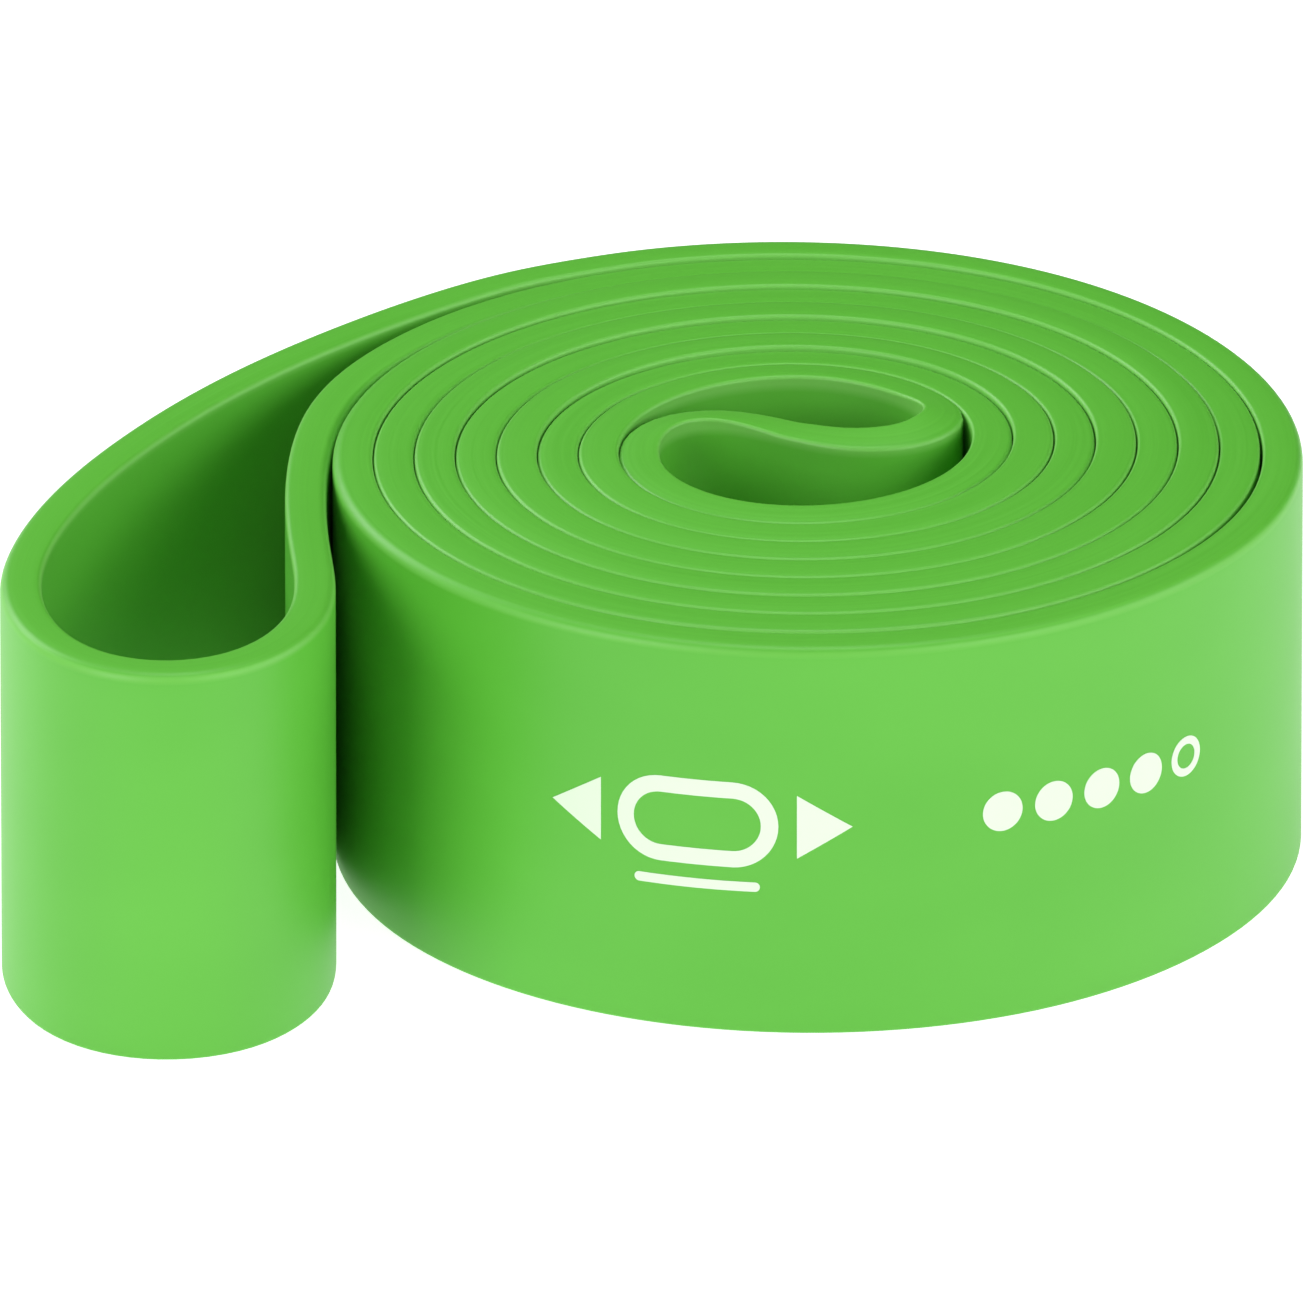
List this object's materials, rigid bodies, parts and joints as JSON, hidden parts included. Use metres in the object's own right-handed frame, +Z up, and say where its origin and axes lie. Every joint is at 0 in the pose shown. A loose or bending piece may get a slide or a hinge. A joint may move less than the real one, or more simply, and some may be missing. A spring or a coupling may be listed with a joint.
{
  "type": "resistance band",
  "caption": "Flat closed loop of layered latex, laid double and rolled into an upright coil, with its end loop standing open at one side and printed marks on the wall.",
  "frame": {"origin": "middle of the part's box in plan, on the surface it stands on", "axes": "+X from the end loop towards the coil, +Y towards the back of the coil, +Z up across the band's width"},
  "size_m": [0.1404, 0.116, 0.0468],
  "materials": {
    "latex": "satin green natural latex",
    "ink": "matt white flexible ink"
  },
  "bodies": {
    "coil": {"coil_inner_plies": "latex", "coil_middle_plies": "latex", "coil_outer_plies": "latex", "print_loop_ring": "ink", "print_arrow_left": "ink", "print_arrow_right": "ink", "print_rule": "ink", "print_level_dot_1": "ink", "print_level_dot_2": "ink", "print_level_dot_3": "ink", "print_level_dot_4": "ink", "print_level_dot_5": "ink"},
    "outer_wrap": {"wrap_outer_strand_inner_plies": "latex", "wrap_outer_strand_middle_plies": "latex", "wrap_outer_strand_outer_plies": "latex", "wrap_inner_strand_inner_plies": "latex", "wrap_inner_strand_middle_plies": "latex", "wrap_inner_strand_outer_plies": "latex"},
    "end_loop": {"end_loop_inner_plies": "latex", "end_loop_middle_plies": "latex", "end_loop_outer_plies": "latex"}
  },
  "joints": [
    {"name": "outer_wrap_peel", "type": "hinge", "parent": "coil", "child": "outer_wrap", "pos_m": [0.06337, 0.02867, 0], "axis": [0, 0, -1], "range_deg": [0, 30], "stiffness_Nm_per_rad": 0.03},
    {"name": "end_loop_swing", "type": "hinge", "parent": "outer_wrap", "child": "end_loop", "pos_m": [-0.00581, 0.05441, 0], "axis": [0, 0, -1], "range_deg": [0, 35], "stiffness_Nm_per_rad": 0.03}
  ]
}
